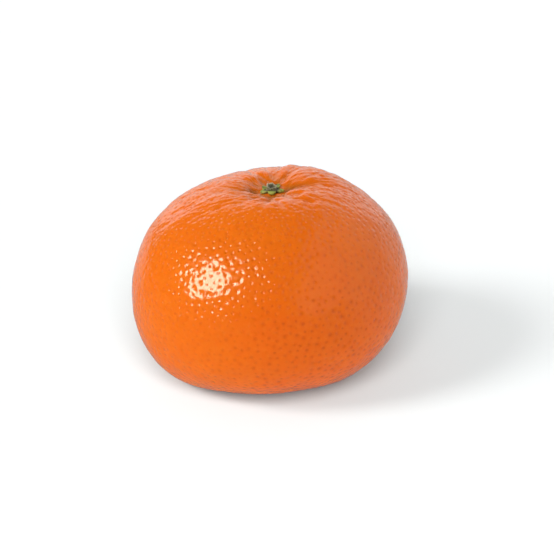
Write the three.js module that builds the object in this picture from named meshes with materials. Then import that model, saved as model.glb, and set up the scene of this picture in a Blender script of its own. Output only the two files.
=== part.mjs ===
// A whole mandarin with the calyx and the cut stalk still on it, resting on a table.
// Millimetres, +Z up, +Y away from the viewer. The origin is the middle of the flat spot it rests on.
// The peel is one solid. Its calyx and stalk stub are the two other pieces, at the top.
import * as THREE from "three";

// The body: a flattened ball that leans. It is measured from a centre straight below the stem.
const HALF_WIDTH = 31.7; // centre to equator, left and right
const DEPTH_SHARE = 0.975; // front to back, as a share of the width
const HALF_TOP = 24.4; // centre to the upper pole
const HALF_BOTTOM = 22.4; // centre to the lower pole
const FULLNESS = 2.2; // 2 is an ellipse, and more has fuller shoulders
const LEAN_DEG = 7.2; // the poles lean left, so the right side rides higher
const SHOULDER_SLOPE = 0.7; // draws the shoulders in and the poles out
const STEM_OFF_CENTRE = 0.5; // how far to the right of the body's middle the stem stands
const FLAT_SPOT_DEPTH = 0.8; // what the weight presses flat against the table

// Swellings and flats that make the fruit lopsided. Azimuth runs from +X towards +Y.
const SWELLINGS = [
  { name: "hump behind the stem", azimuth: 43, elevation: 61, height: 0.6, spread: 18 },
  { name: "flat shoulder, back left", azimuth: 122, elevation: 61, height: -0.6, spread: 19 },
  { name: "heavy cheek, lower right", azimuth: -30, elevation: -45, height: 1.8, spread: 24 },
  { name: "flat on the right", azimuth: -6, elevation: -8, height: -0.35, spread: 18 },
  { name: "flat on the left", azimuth: 176, elevation: 4, height: -0.5, spread: 20 },
  { name: "heavy cheek, lower left", azimuth: -155, elevation: -40, height: 1.3, spread: 20 },
  { name: "full base", azimuth: 0, elevation: -76, height: 0.8, spread: 22 },
  { name: "full cheek, back", azimuth: 84, elevation: -18, height: 0.7, spread: 26 },
  { name: "flat, back left", azimuth: 136, elevation: -4, height: -0.5, spread: 20 },
];

// Hollows in the peel: where the stalk sits, and the scar of the flower at the other end.
const STEM_HOLLOW = { depth: 3.45, spread: 14.5 };
const FLOWER_SCAR = { azimuth: 10, elevation: -72, depth: 1.0, spread: 7 };

// Folds that run out from the calyx over the shoulder. The first two are the deep ones.
const FOLD_COUNT = 13;
const DEEP_FOLDS = [{ azimuth: 4, depth: 0.75 }, { azimuth: 187, depth: 0.6 }];
const FOLD_DEPTH = [0.2, 0.5];
const FOLD_REACH = [6, 13]; // how far from the stem they fade
const FOLD_HALF_WIDTH = 1.0;
const FOLD_START = 4.2; // they are deepest this far from the stem
const FOLD_ONSET = 1.6; // how fast they deepen on the way there
const FOLD_STRAY = 0.7; // how unevenly they stand, as a share of their spacing
const FOLD_SPREAD = 0.06; // how much they widen for each millimetre outwards

// Oil glands: pits in the peel, drawn a few times larger than life so that the mesh can hold them.
const LATTICE = 24; // steps along an edge of the icosahedron, a multiple of 3
const ICOSAHEDRON_EDGE_DEG = 63.4; // as seen from its centre
const PIT_DEPTH = [0.18, 0.32]; // where the lattice is even
const LATTICE_JITTER = 0.2; // as a share of one step
const TIGHTER_AT_STEM = 0.22; // crowds the lattice at the top, where the folds are
const TIGHTER_AT_POLES = 0.1;

// The calyx: five sepals in one star that lies in the stem hollow.
const SEPALS = 5;
const FIRST_SEPAL_DEG = 55;
const SEPAL_REACH = [2.9, 3.4]; // stem axis to a sepal's tip
const SEPAL_NOTCH = 1.55; // stem axis to the notch between two sepals
const SEPAL_POINT = 0.8; // less is a blunter tip
const SEPAL_EDGE = 0.6; // thickness
const SEPAL_CROWN = 0.15; // what the middle of the star adds to that
const SEPAL_CURL = 0.25; // how far the tips lift
const CALYX_SIDES = 60;
const CALYX_RINGS = 5; // on each face
const TOUCH_GAP = 0.25; // between pieces that touch

// The stalk stub: a short woody knob, broken off flush, with a sunken end.
const STUB_RADIUS = 1.5;
const STUB_HEIGHT = 0.75;
const STUB_WAIST = 0.86; // its narrowest, as a share of its foot
const STUB_RIM = 0.96; // its broken end's rim, as a share of its foot
const STUB_DISH = 0.25; // how deep that end is sunken
// The stub's outline from its foot to its end, as shares of its radius and its height.
const STUB_OUTLINE = [
  [0.5, 0],
  [1, 0],
  [STUB_WAIST, 0.35],
  [STUB_WAIST, 0.6],
  [STUB_RIM, 0.85],
  [0.82, 1],
  [0.55, 1 - (0.7 * STUB_DISH) / STUB_HEIGHT],
];
const STUB_SIDES = 24;
const STUB_WOBBLE = [0.94, 1.05]; // how unevenly it is round, as shares of its radius

const degrees = THREE.MathUtils.degToRad;
const STEM = new THREE.Vector3(0, 0, 1);

// Repeatable random numbers from 0 to 1.
function seededRandom(seed) {
  let state = seed;
  return () => {
    state = (state * 1664525 + 1013904223) % 4294967296;
    return state / 4294967296;
  };
}

const between = ([low, high], share) => low + (high - low) * share;

// A hill of height 1 at 0 that has fallen to 1/e at its spread.
const hill = (distance, spread) => Math.exp(-((distance / spread) ** 2));

function directionAt(azimuth, elevation) {
  const level = Math.cos(degrees(elevation));
  const [x, y] = [level * Math.cos(degrees(azimuth)), level * Math.sin(degrees(azimuth))];
  return new THREE.Vector3(x, y, Math.sin(degrees(elevation)));
}

function makeFolds() {
  const random = seededRandom(11);
  const folds = DEEP_FOLDS.map((fold) => ({ ...fold, reach: FOLD_REACH[1] }));
  for (let i = folds.length; i < FOLD_COUNT; i++) {
    folds.push({
      azimuth: (360 * (i + FOLD_STRAY * random())) / FOLD_COUNT,
      depth: between(FOLD_DEPTH, random()),
      reach: between(FOLD_REACH, random()),
    });
  }
  return folds;
}

const FOLDS = makeFolds();
const BULGES = SWELLINGS.map((s) => ({ ...s, towards: directionAt(s.azimuth, s.elevation) }));
const SCAR_DIRECTION = directionAt(FLOWER_SCAR.azimuth, FLOWER_SCAR.elevation);

const apartDeg = (a, b) => THREE.MathUtils.radToDeg(a.angleTo(b));

// How far the folds sink the peel at a place given in plan from the stem.
function foldDepth(x, y) {
  let depth = 0;
  for (const fold of FOLDS) {
    const along = x * Math.cos(degrees(fold.azimuth)) + y * Math.sin(degrees(fold.azimuth));
    const across = y * Math.cos(degrees(fold.azimuth)) - x * Math.sin(degrees(fold.azimuth));
    const run = hill(along - FOLD_START, along < FOLD_START ? FOLD_ONSET : fold.reach);
    depth += fold.depth * run * hill(across, FOLD_HALF_WIDTH + FOLD_SPREAD * Math.max(along, 0));
  }
  return depth;
}

// Distance from the body's centre to the smooth peel, along a unit direction.
function peelRadius(direction) {
  const leaning = direction.clone().applyAxisAngle(new THREE.Vector3(0, 1, 0), degrees(LEAN_DEG));
  const level = Math.hypot(leaning.x, leaning.y / DEPTH_SHARE) / HALF_WIDTH;
  const upright = Math.abs(leaning.z) / (leaning.z > 0 ? HALF_TOP : HALF_BOTTOM);
  let radius = (level ** FULLNESS + upright ** FULLNESS) ** (-1 / FULLNESS);
  radius += (SHOULDER_SLOPE * leaning.z * (5 * leaning.z ** 2 - 3)) / 2; // third Legendre polynomial
  radius -= STEM_OFF_CENTRE * direction.x;
  for (const bulge of BULGES) {
    radius += bulge.height * hill(apartDeg(direction, bulge.towards), bulge.spread);
  }
  radius -= STEM_HOLLOW.depth * hill(apartDeg(direction, STEM), STEM_HOLLOW.spread);
  radius -= FLOWER_SCAR.depth * hill(apartDeg(direction, SCAR_DIRECTION), FLOWER_SCAR.spread);
  if (direction.z > 0) radius -= foldDepth(direction.x * radius, direction.y * radius);
  return radius;
}

// The middle of the flat spot, found on a fine grid round the underside of the unmoved body.
function restingSpot() {
  const underside = [];
  for (let elevation = -90; elevation < -50; elevation += 0.5) {
    for (let azimuth = 0; azimuth < 360; azimuth += 4) {
      const direction = directionAt(azimuth, elevation);
      const point = direction.clone().multiplyScalar(peelRadius(direction));
      underside.push({ point, weight: Math.cos(degrees(elevation)) });
    }
  }
  const lowest = Math.min(...underside.map(({ point }) => point.z));
  const cutOff = underside.filter(({ point }) => point.z < lowest + FLAT_SPOT_DEPTH);
  const middle = new THREE.Vector3();
  cutOff.forEach(({ point, weight }) => middle.addScaledVector(point, weight));
  middle.divideScalar(cutOff.reduce((sum, { weight }) => sum + weight, 0));
  return middle.setZ(lowest + FLAT_SPOT_DEPTH);
}

// Moves the body's centre to its place above the table.
const CENTRE = restingSpot().negate();

// Crowds a lattice direction towards the stem and a little towards both poles.
// The share it returns is how wide the lattice is there, where 1 is even.
function crowded(direction) {
  const polar = Math.acos(THREE.MathUtils.clamp(direction.z, -1, 1));
  const moved = polar - TIGHTER_AT_STEM * Math.sin(polar) - TIGHTER_AT_POLES * Math.sin(2 * polar);
  const share = 1 - TIGHTER_AT_STEM * Math.cos(polar) - 2 * TIGHTER_AT_POLES * Math.cos(2 * polar);
  const azimuth = Math.atan2(direction.y, direction.x);
  const level = Math.sin(moved);
  const place = new THREE.Vector3(level * Math.cos(azimuth), level * Math.sin(azimuth), Math.cos(moved));
  return [place, share];
}

// An even lattice of directions over the sphere. Every third one is a pit, with six others round it.
function peelLattice() {
  const faces = new THREE.IcosahedronGeometry(1).getAttribute("position");
  const directions = [];
  const isPit = [];
  const index = [];
  const known = new Map();
  const vertexAt = (corners, i, j) => {
    const sum = new THREE.Vector3();
    [LATTICE - i - j, i, j].forEach((weight, k) => sum.addScaledVector(corners[k], weight));
    sum.normalize();
    const key = sum.toArray().map((value) => Math.round(value * 1e5)).join();
    if (!known.has(key)) {
      known.set(key, directions.length);
      directions.push(sum);
      isPit.push((i - j) % 3 === 0);
    }
    return known.get(key);
  };
  for (let face = 0; face < faces.count; face += 3) {
    const corners = [0, 1, 2].map((k) => new THREE.Vector3().fromBufferAttribute(faces, face + k));
    for (let i = 0; i < LATTICE; i++) {
      for (let j = 0; j < LATTICE - i; j++) {
        const [a, b, c] = [vertexAt(corners, i, j), vertexAt(corners, i + 1, j), vertexAt(corners, i, j + 1)];
        index.push(a, b, c);
        if (i + j < LATTICE - 1) index.push(b, vertexAt(corners, i + 1, j + 1), c);
      }
    }
  }
  return { directions, isPit, index };
}

function indexedGeometry(points, index) {
  const geometry = new THREE.BufferGeometry().setFromPoints(points);
  geometry.setIndex(index);
  geometry.computeVertexNormals();
  return geometry;
}

function peelGeometry() {
  const random = seededRandom(5);
  const { directions, isPit, index } = peelLattice();
  const step = degrees(ICOSAHEDRON_EDGE_DEG) / LATTICE;
  const points = directions.map((lattice, i) => {
    const shake = new THREE.Vector3(random() - 0.5, random() - 0.5, random() - 0.5);
    const shaken = lattice.clone().addScaledVector(shake, 2 * LATTICE_JITTER * step).normalize();
    const [direction, share] = crowded(shaken);
    let radius = peelRadius(direction);
    const clearOfCalyx = Math.hypot(direction.x, direction.y) * radius > SEPAL_REACH[1];
    if (isPit[i] && clearOfCalyx) radius -= between(PIT_DEPTH, random()) * share ** 2;
    const point = direction.multiplyScalar(radius).add(CENTRE);
    point.z = Math.max(point.z, 0); // the resting spot is flat
    return point;
  });
  return indexedGeometry(points, index);
}

const HEIGHT_STEPS = 6; // each one brings the height nearer

// The height of the peel above the table, at a place given in plan from the stem.
function peelHeight(x, y) {
  let z = HALF_TOP;
  for (let step = 0; step < HEIGHT_STEPS; step++) {
    const radius = peelRadius(new THREE.Vector3(x, y, z).normalize());
    z = Math.sqrt(radius ** 2 - x ** 2 - y ** 2);
  }
  return z + CENTRE.z;
}

// A closed solid of rings round an upright axis, from a first middle point out, round and in to a last one.
function ringSolid(sides, ringCount, first, last, pointAt) {
  const points = [first];
  for (let ring = 0; ring < ringCount; ring++) {
    for (let side = 0; side < sides; side++) points.push(pointAt(ring, (2 * Math.PI * side) / sides));
  }
  points.push(last);
  const at = (ring, side) => 1 + ring * sides + (side % sides);
  const index = [];
  for (let side = 0; side < sides; side++) {
    index.push(0, at(0, side + 1), at(0, side));
    for (let ring = 0; ring < ringCount - 1; ring++) {
      const [a, b, c, d] = [at(ring, side), at(ring, side + 1), at(ring + 1, side + 1), at(ring + 1, side)];
      index.push(a, b, c, a, c, d);
    }
    index.push(points.length - 1, at(ringCount - 1, side), at(ringCount - 1, side + 1));
  }
  return indexedGeometry(points, index);
}

const aroundStem = (reach, angle) => [reach * Math.cos(angle), reach * Math.sin(angle)];

// Where the sepals' outline stands from the stem, at an angle round it.
function makeSepalReach() {
  const random = seededRandom(3);
  const tips = Array.from({ length: SEPALS }, () => between(SEPAL_REACH, random()));
  return (angle) => {
    const turn = ((angle - degrees(FIRST_SEPAL_DEG)) / (2 * Math.PI) + 1) * SEPALS;
    const nearest = Math.round(turn);
    const offTip = Math.abs(turn - nearest) * 2; // 0 at a tip and 1 in a notch
    return between([SEPAL_NOTCH, tips[nearest % SEPALS]], 1 - offTip ** SEPAL_POINT);
  };
}

const sepalReach = makeSepalReach();
const calyxUnderside = (x, y, share) => peelHeight(x, y) + TOUCH_GAP + SEPAL_CURL * share ** 3;
const calyxTop = (x, y, share) => calyxUnderside(x, y, share) + SEPAL_EDGE + SEPAL_CROWN * (1 - share ** 2);

function calyxGeometry() {
  const rings = CALYX_RINGS;
  const pointAt = (ring, angle) => {
    const isTop = ring >= rings;
    const share = (isTop ? 2 * rings - ring : ring + 1) / rings;
    const [x, y] = aroundStem(sepalReach(angle) * share, angle);
    return new THREE.Vector3(x, y, (isTop ? calyxTop : calyxUnderside)(x, y, share));
  };
  const middle = (heightAt) => new THREE.Vector3(0, 0, heightAt(0, 0, 0));
  return ringSolid(CALYX_SIDES, 2 * rings, middle(calyxUnderside), middle(calyxTop), pointAt);
}

function stubGeometry() {
  const random = seededRandom(8);
  const wobble = Array.from({ length: STUB_SIDES }, () => between(STUB_WOBBLE, random()));
  const footAt = (x, y) => calyxTop(x, y, Math.hypot(x, y) / SEPAL_NOTCH) + TOUCH_GAP;
  const pointAt = (ring, angle) => {
    const [wide, high] = STUB_OUTLINE[ring];
    const side = Math.round((angle / (2 * Math.PI)) * STUB_SIDES);
    const [x, y] = aroundStem(STUB_RADIUS * wide * wobble[side % STUB_SIDES], angle);
    const base = THREE.MathUtils.lerp(footAt(x, y), footAt(0, 0), high);
    return new THREE.Vector3(x, y, base + STUB_HEIGHT * high);
  };
  const foot = new THREE.Vector3(0, 0, footAt(0, 0));
  const end = new THREE.Vector3(0, 0, footAt(0, 0) + STUB_HEIGHT - STUB_DISH);
  return ringSolid(STUB_SIDES, STUB_OUTLINE.length, foot, end, pointAt);
}

// Skins as a colour with how rough they are.
const skin = (color, roughness) => new THREE.MeshStandardMaterial({ color, roughness, metalness: 0 });

function piece(name, geometry, material) {
  const mesh = new THREE.Mesh(geometry, material);
  mesh.name = name;
  return mesh;
}

// The calyx and the stub are modelled round the stem, which stands above the body's centre.
const stemPlace = new THREE.Group();
stemPlace.position.set(CENTRE.x, CENTRE.y, 0);
stemPlace.add(piece("calyx", calyxGeometry(), skin(0x6f7a34, 0.7)));
stemPlace.add(piece("stalk_stub", stubGeometry(), skin(0x7d775c, 0.85)));

const mandarin = new THREE.Group();
mandarin.name = "mandarin";
mandarin.add(piece("peel", peelGeometry(), skin(0xf0751a, 0.35)));
mandarin.add(stemPlace);

export default mandarin;
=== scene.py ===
import math
from functools import partial

import bpy
import numpy as np
from bpy.props import FloatProperty, FloatVectorProperty, IntProperty, PointerProperty
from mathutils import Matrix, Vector


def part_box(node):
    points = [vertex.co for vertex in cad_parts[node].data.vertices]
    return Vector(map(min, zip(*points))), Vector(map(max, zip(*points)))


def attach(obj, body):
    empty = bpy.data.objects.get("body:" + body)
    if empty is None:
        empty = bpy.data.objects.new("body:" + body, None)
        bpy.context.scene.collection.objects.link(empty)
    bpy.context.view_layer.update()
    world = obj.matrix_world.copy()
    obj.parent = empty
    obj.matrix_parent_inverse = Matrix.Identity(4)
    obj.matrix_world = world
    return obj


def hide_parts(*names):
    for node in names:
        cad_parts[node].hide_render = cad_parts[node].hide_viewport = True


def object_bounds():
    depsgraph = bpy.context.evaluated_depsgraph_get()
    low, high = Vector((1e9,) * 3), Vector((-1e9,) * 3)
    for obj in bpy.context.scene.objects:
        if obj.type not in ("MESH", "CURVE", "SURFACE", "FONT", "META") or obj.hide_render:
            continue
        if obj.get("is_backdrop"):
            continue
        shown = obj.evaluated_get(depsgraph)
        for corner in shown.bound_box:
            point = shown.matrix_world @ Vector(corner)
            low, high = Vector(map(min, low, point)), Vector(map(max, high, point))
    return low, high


bl_info = {
    "name": "Mandarin",
    "version": (1, 0, 0),
    "blender": (4, 5, 0),
    "location": "View3D > Sidebar > Mandarin",
    "description": "Builds a mandarin's pitted peel, its calyx and its stalk stub, with a plain studio",
    "category": "Add Mesh",
}

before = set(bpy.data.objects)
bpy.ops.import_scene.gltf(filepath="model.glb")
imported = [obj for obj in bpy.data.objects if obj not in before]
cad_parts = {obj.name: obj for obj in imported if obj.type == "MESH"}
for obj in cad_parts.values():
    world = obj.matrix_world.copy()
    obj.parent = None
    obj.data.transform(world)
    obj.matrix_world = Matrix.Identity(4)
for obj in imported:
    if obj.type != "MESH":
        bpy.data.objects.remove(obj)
CAD_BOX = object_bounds()
MM = 0.001

# The body: a flattened ball that leans, as in the solid under it.
HALF_WIDTH = 31.7
DEPTH_SHARE = 0.975
HALF_TOP = 24.4
HALF_BOTTOM = 22.4
FULLNESS = 2.2
LEAN_DEG = 7.2
SHOULDER_SLOPE = 0.7
STEM_OFF_CENTRE = 0.5
FLAT_SPOT_DEPTH = 0.8

# Directions over the underside, in degrees, from which the middle of the flat spot is worked out.
UNDERSIDE_ELEVATIONS = np.arange(-90, -50, 0.5)
UNDERSIDE_AZIMUTHS = np.arange(0, 360, 4)

# Swellings and flats: azimuth and elevation in degrees, height in mm, spread in degrees.
SWELLINGS = {
    "hump behind the stem": (43, 61, 0.6, 18),
    "flat shoulder, back left": (122, 61, -0.6, 19),
    "heavy cheek, lower right": (-30, -45, 1.8, 24),
    "flat on the right": (-6, -8, -0.35, 18),
    "flat on the left": (176, 4, -0.5, 20),
    "heavy cheek, lower left": (-155, -40, 1.3, 20),
    "full base": (0, -76, 0.8, 22),
    "full cheek, back": (84, -18, 0.7, 26),
    "flat, back left": (136, -4, -0.5, 20),
}
STEM_HOLLOW = (3.45, 14.5)  # depth in mm and spread in degrees
FLOWER_SCAR = (10, -72, 1.0, 7)  # azimuth, elevation, depth and spread
SCAR_BROWN = 0.45  # share of its spread that is brown

# Folds that run out from the calyx: azimuth, depth and reach. The first two are the deep ones.
FOLD_SEED = 11
FOLD_COUNT = 13
DEEP_FOLDS = [(4, 0.75), (187, 0.6)]
FOLD_DEPTH = (0.2, 0.5)
FOLD_REACH = (6, 13)
FOLD_STRAY = 0.7
FOLD_HALF_WIDTH = 1.0
FOLD_START = 4.2
FOLD_ONSET = 1.6
FOLD_SPREAD = 0.06

# Fine creases between the folds, too narrow for the solid.
CREASE_SEED = 23
CREASE_COUNT = 24
CREASE_DEPTH = (0.06, 0.2)
CREASE_REACH = (6.0, 20.0)
CREASE_HALF_WIDTH = 0.4
CREASE_WAVER = 0.45
WAVER_PER_MM = 1.3  # radians
CREASE_SPREAD = 0.02

# Short wrinkles over the drawn-in shoulders, sunken and raised, most of them pointing at the stem.
WRINKLE_SEED = 61
WRINKLE_COUNT = 480
WRINKLE_PLACE = (4.6, 25.0)  # how far from the stem their middles are
WRINKLE_HALF_LENGTH = (1.6, 5.0)
WRINKLE_HALF_WIDTH = (0.26, 0.5)
WRINKLE_DEPTH = (-0.13, 0.27)
WRINKLE_FADING = 0.55  # share of the depth that is lost at the outermost
WRINKLE_BOW = 0.08  # how far one is bent, as a share of its half length
WRINKLE_STRAY_DEG = 17
WRINKLE_MORE_STRAY_DEG = 25  # added beside the stem
WRINKLE_STRAY_SPREAD = 9

CALM_IN_FRONT = 0.62  # share by which they end sooner on the viewer's side
TURN_IN_FRONT = 0.15  # 1 where they point at the stem there, 0 where they run straight across

# Still finer streaks, drawn as relief in the material.
STREAK_RING = 15  # how far from the stem a streak is as wide as its noise
STREAK_STRETCH = 4.0  # length of one to its width
STREAK_WIDTH = 0.9
DRAWN_IN_SPREAD = 19  # how far from the stem they reach
CALM_AT_CALYX = 2.6  # how far from it they begin

# A darker brown in the creases and folds near the stem, darkest where they are deepest.
DARKENING_IN_CREASES = 1.6
DARKENING_IN_FOLDS = 1.2
UNDARKENED_SHARE = 0.15  # taken off, so that the shallow ones stay unmarked
DARKENING_SPREAD = 7
DARKENING_COVER = 0.95  # share of the rind's colour that it hides
DARKENING_HEX = "#86581C"
SCAR_HEX = "#7A5A36"

# The mesh of the peel: steps along an icosahedron's edge, crowded towards the stem.
LATTICE = 99
TIGHTER_AT_STEM = 0.22
TIGHTER_AT_POLES = 0.1

# Waves in the mesh, by their size in mm.
SWELL_SIZE = 7
RIPPLE_SIZE = 2.7
RIPPLE_EVERYWHERE = 0.12  # share that is left away from the stem

# Oil glands.
GLAND_SIZES = (0.55, 1.4)  # least and most, where 1 is an average gland
MOST_GLANDS = 4e6  # to a square metre, before their spacing thins them
PITS_NARROWER = 0.35  # share by which they are narrower beside the stem
PIT_STEEPNESS = 3.0  # how fast a pit rises from its middle
SHADE_STEEPNESS = 1.8  # how fast its darker colour fades from there
LEAST_DISTANCE = 0.75  # share of the kept distance that a place is at least from its gland

# Patterns of the rind: size in mm and detail.
PATCHES = (16, 3.0)
SPECKLES = (0.9, 2.0)
WAVES = (1.5, 1.0)
PATCH_REDNESS = 0.35
SPECKLE_PALENESS = 0.25
PALE_GLANDS = 0.12  # how dark glands are outside the shaded cheek, as a share; on it they are darker, painted shade in their pits
SHADED_CHEEK = (-66, -10, 44)  # azimuth, elevation and spread of the cheek away from the light, painted deeper orange as painted shade

# One sepal, in mm and shares. Its width grows from the foot, and its tip is rounded.
FIRST_SEPAL_DEG = 55
SEPAL_COUNT = 5
SEPAL_STEPS = (22, 12)  # along it and across it
SEPAL_FOOT = 0.35  # share of the width that its foot has
SEPAL_WIDENING = 1.5  # what it gains from there over its whole length
SEPAL_TAPER = 0.97  # share that is lost at the tip, before rounding
SEPAL_ROUNDING = 0.6  # the smaller, the blunter the tip
SEPAL_TIP_CURL = 0.25  # how high its tip stands
SEPAL_RIB = (0.1, 0.2)  # height in mm, and half width as a share of the sepal's
SEPAL_RIM = 0.16  # how far its edge turns up
SEPAL_THINNING = (0.25, 0.45)  # shares lost at its sides and at its tip
SEPAL_UNDERSIDE = (0.9, -0.08)  # share of the width, and height over the peel
CALYX_MOTTLE = (0.8, 4.0)  # size in mm and detail
CALYX_RELIEF = 0.12

# How sepals differ: least, most and what is added to the seed.
STRAY_DRAW = (-1.0, 1.0, 3)
LENGTH_DRAW = (0.9, 1.08, 5)
WIDTH_DRAW = (0.85, 1.12, 7)
THICKNESS_DRAW = (0.85, 1.2, 9)

# A sepal is dropped on the peel from here, in metres.
DROP_START = 0.1
DROP_LENGTH = 1.0

# The stub. Waves round it have a count, a height and a start in radians.
STUB_SHORTER = 0.1  # how far its end is under the solid's
STUB_SEAT = 0.5  # how far its foot reaches down between the sepals
STUB_LOW_SIDE = math.radians(-65)  # its broken end leans this way
STUB_STEPS = 53
STUB_SIDES = 72
BARK_RIDGES = [(3, 0.05, 0.6 + math.pi / 2), (7, 0.035, math.pi / 2), (17, 0.02, 0), (29, 0.012, 2)]
TORN_EDGE = [(5, 0.08, 1), (11, 0.05, 0), (19, 0.03, 0)]
TORN_INSIDE = 0.4  # how much of the torn edge's height is left at the middle
FOOT_DEPTH = 0.1
MIDDLE_DEPTH = 0.03
RIM_AT = (0.7, 0.1)  # place along the outline and spread
RIM_PALENESS_AND_HIGHLIGHT = (0.6, 0.4)  # on average, and how much that falls towards the low side, away from the light: the rim is painted paler on its lit side, a painted highlight
PITH_AT = (0.8, 0.15)  # where it begins along the outline, and over how much it is all there
STUB_GRAIN = (0.35, 4.0)  # size in mm and detail
STUB_GRAIN_STRETCH = 0.25
STUB_RELIEF = 0.2

# Directions to the lamps. The soft light stands at the left and in front, and what the peel mirrors of it
# a little further in front. The other two light only the table.
KEY_TOWARDS = (-0.74, -0.35, 0.57)
GLOSS_TOWARDS = (-0.711, -0.453, 0.537)
TABLE_KEY_TOWARDS = (-0.7, -0.36, 0.58)
TABLE_LIGHT_TOWARDS = (0.0, -0.81, 0.59)
LAMP_DISTANCE = 1.2
KEY_WIDTH = math.radians(27)
TABLE_KEY_WIDTH = math.radians(19)
TABLE_LIGHT_WIDTH = math.radians(35)
GLOSS_LAMP_WIDTH = 0.74  # metres
GLOSS_LAMP_HEX = "#FFF1DA"

# What the peel's gloss mirrors. Each edge is where a direction's share runs from none to all.
BACKDROP_TOWARDS = (0.0, 0.953, 0.301)
BACKDROP_EDGE = (0.80, 0.84)
PANEL_EDGE = (0.25, 0.5)
FILL_EDGE = (-0.2, 0.9)
TABLE_LIT_TOWARDS = (0.55, 0.835, 0.0)
TABLE_EDGE = (-0.06, 0.06)  # metres towards the lit side
TABLE_DARK = (0.86, 0.4)  # share of the table's light that the gloss misses before and past that edge

TABLE_HEX = "#888A8A"
TABLE_HALF_WIDTH = 2000
WHITE = (1, 1, 1, 1)
LENS = 135
SENSOR_WIDTH = 36
AIM_RIGHT = 1.6  # how far beside the middle of the peel the camera aims
AIM_DOWN = 0.4

# Kinds of node that are added often.
ATTRIBUTE = "ShaderNodeAttribute"
COMBINE = "ShaderNodeCombineXYZ"
MATH = "ShaderNodeMath"
MIX = "ShaderNodeMix"
NOISE = "ShaderNodeTexNoise"
RANGE = "ShaderNodeMapRange"
VECTOR_MATH = "ShaderNodeVectorMath"


def seeded_random(seed):
    """Repeatable numbers from 0 to 1, the same as the solid's."""
    state = seed
    while True:
        state = (state * 1664525 + 1013904223) % 4294967296
        yield state / 4294967296


def between(limits, share):
    return limits[0] + (limits[1] - limits[0]) * share


def hill(distance, spread):
    """1 at no distance, fallen to 1/e at the spread."""
    return np.exp(-((distance / spread) ** 2))


def direction_at(azimuth, elevation):
    """Unit directions from azimuths and elevations in degrees."""
    azimuth, elevation = np.radians(azimuth), np.radians(elevation)
    level = np.cos(elevation)
    return np.stack([level * np.cos(azimuth), level * np.sin(azimuth), np.sin(elevation)], axis=-1)


def apart_deg(directions, other):
    return np.degrees(np.arccos(np.clip(directions @ other, -1, 1)))


def make_folds():
    random = seeded_random(FOLD_SEED)
    folds = [(azimuth, depth, FOLD_REACH[1]) for azimuth, depth in DEEP_FOLDS]
    for i in range(len(folds), FOLD_COUNT):
        azimuth = 360 * (i + FOLD_STRAY * next(random)) / FOLD_COUNT
        depth = between(FOLD_DEPTH, next(random))
        folds.append((azimuth, depth, between(FOLD_REACH, next(random))))
    return folds


def make_creases():
    random = seeded_random(CREASE_SEED)
    creases = []
    for i in range(CREASE_COUNT):
        azimuth = 360 * (i + next(random)) / CREASE_COUNT
        depth = between(CREASE_DEPTH, next(random))
        creases.append((azimuth, depth, between(CREASE_REACH, next(random))))
    return creases


def furrow_depth(x, y, furrows, half_width, widening=FOLD_SPREAD, waver=0):
    """How far furrows that run out from the stem sink the peel at places in plan."""
    depth = np.zeros_like(x)
    for azimuth, deepest, reach in furrows:
        cosine, sine = math.cos(math.radians(azimuth)), math.sin(math.radians(azimuth))
        along = x * cosine + y * sine
        across = y * cosine - x * sine + waver * np.sin(along * WAVER_PER_MM + azimuth)
        run = hill(along - FOLD_START, np.where(along < FOLD_START, FOLD_ONSET, reach))
        depth += deepest * run * hill(across, half_width + widening * np.maximum(along, 0))
    return depth


def wrinkle_depth(x, y):
    """How far the short wrinkles sink the peel at places in plan."""
    random = seeded_random(WRINKLE_SEED)
    depth = np.zeros_like(x)
    for _ in range(WRINKLE_COUNT):
        azimuth = math.tau * next(random)
        outermost = WRINKLE_PLACE[1] * (1 - CALM_IN_FRONT * max(0, -math.sin(azimuth)))
        place = math.sqrt(between([WRINKLE_PLACE[0] ** 2, outermost**2], next(random)))
        stray = math.radians(WRINKLE_STRAY_DEG + WRINKLE_MORE_STRAY_DEG * hill(place, WRINKLE_STRAY_SPREAD))
        # On the viewer's side they turn and run from left to right.
        turned = 1 if azimuth < math.pi else TURN_IN_FRONT
        heading = math.atan2(turned * math.sin(azimuth), math.cos(azimuth)) + stray * (2 * next(random) - 1)
        half_length = between(WRINKLE_HALF_LENGTH, next(random))
        half_width = between(WRINKLE_HALF_WIDTH, next(random))
        fading = 1 - WRINKLE_FADING * place / outermost
        off_x, off_y = x - place * math.cos(azimuth), y - place * math.sin(azimuth)
        along = off_x * math.cos(heading) + off_y * math.sin(heading)
        across = off_y * math.cos(heading) - off_x * math.sin(heading)
        across += WRINKLE_BOW * along**2 / half_length
        deepest = between(WRINKLE_DEPTH, next(random)) * fading
        depth += deepest * hill(along, half_length) * hill(across, half_width)
    return depth


def peel_radius(directions):
    """Distance from the body's centre to the smooth peel, in mm, along unit directions."""
    x, y, z = directions.T
    lean = math.radians(LEAN_DEG)
    leaning_x = x * math.cos(lean) + z * math.sin(lean)
    leaning_z = z * math.cos(lean) - x * math.sin(lean)
    level = np.hypot(leaning_x, y / DEPTH_SHARE) / HALF_WIDTH
    upright = np.abs(leaning_z) / np.where(leaning_z > 0, HALF_TOP, HALF_BOTTOM)
    radius = (level**FULLNESS + upright**FULLNESS) ** (-1 / FULLNESS)
    # The third Legendre polynomial slopes the shoulders and fills the lower cheeks.
    radius += SHOULDER_SLOPE * leaning_z * (5 * leaning_z**2 - 3) / 2
    radius -= STEM_OFF_CENTRE * x
    for azimuth, elevation, height, spread in SWELLINGS.values():
        radius += height * hill(apart_deg(directions, direction_at(azimuth, elevation)), spread)
    radius -= STEM_HOLLOW[0] * hill(apart_deg(directions, np.array([0, 0, 1])), STEM_HOLLOW[1])
    azimuth, elevation, depth, spread = FLOWER_SCAR
    radius -= depth * hill(apart_deg(directions, direction_at(azimuth, elevation)), spread)
    folds = furrow_depth(x * radius, y * radius, make_folds(), FOLD_HALF_WIDTH)
    return radius - np.where(z > 0, folds, 0)


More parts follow.
